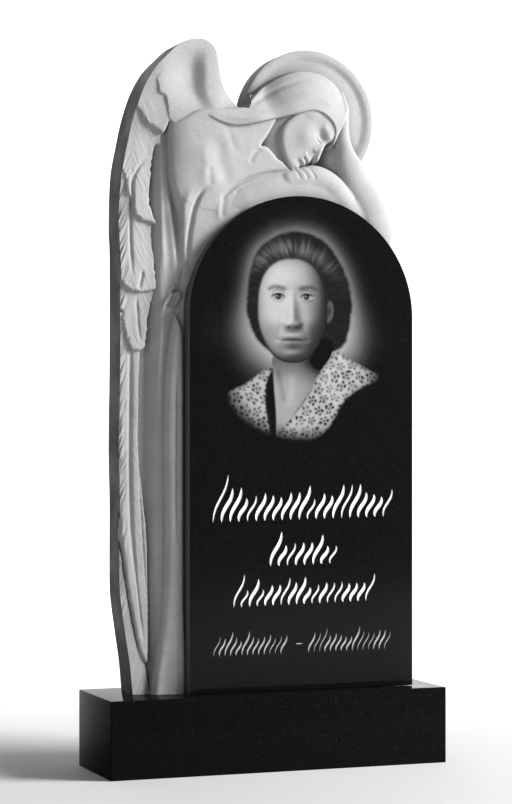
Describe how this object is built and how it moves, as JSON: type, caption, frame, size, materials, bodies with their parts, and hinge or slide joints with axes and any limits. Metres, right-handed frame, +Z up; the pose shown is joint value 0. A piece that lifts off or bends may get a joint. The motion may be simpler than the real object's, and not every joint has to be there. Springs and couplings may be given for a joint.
{
  "type": "carved granite memorial with a winged mourner",
  "caption": "Upright granite memorial on a low plinth: a winged mourner carved in relief bows over a polished round-arched panel, head veiled against a disc halo.",
  "frame": {"origin": "middle of the plinth's underside", "axes": "+Z up, +Y away from the viewer and square to the polished panel, +X to the viewer's right"},
  "size_m": [0.656, 0.2054, 1.3419],
  "materials": {
    "polished_granite": "black granite polished to a mirror",
    "carved_granite": "granite carved and bushed to a pale matt grey"
  },
  "bodies": {
    "root": {"plinth": "polished_granite", "stele": "carved_granite"}
  },
  "joints": []
}
